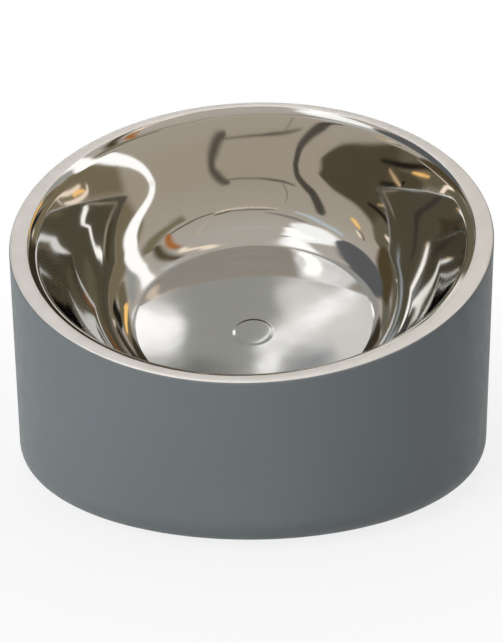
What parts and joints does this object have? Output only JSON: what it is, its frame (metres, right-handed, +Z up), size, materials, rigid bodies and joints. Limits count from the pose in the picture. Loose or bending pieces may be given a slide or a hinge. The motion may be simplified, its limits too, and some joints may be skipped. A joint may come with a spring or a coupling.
{
  "type": "slanted cat bowl",
  "caption": "Round raised cat bowl with a slanted rim: a polished steel dish with a tilted floor, welded into a painted cup-shaped shell on a soft non-slip ring.",
  "frame": {"origin": "centre of the resting face under the non-slip ring", "axes": "+Z up, -Y towards the low front of the rim, +X to the right seen from the front"},
  "size_m": [0.14, 0.14, 0.0958],
  "materials": {
    "polished_steel": "mirror polished inside, satin on the rim's top face",
    "satin_steel": "satin",
    "slate_paint": "matte",
    "ring_silicone": "matte",
    "adhesive": "film",
    "plug_silicone": "matte"
  },
  "bodies": {
    "root": {"inner_bowl": "polished_steel", "rim_weld": "satin_steel", "outer_shell": "slate_paint", "non_slip_ring": "ring_silicone", "ring_adhesive": "adhesive", "vent_plug": "plug_silicone"}
  },
  "joints": []
}
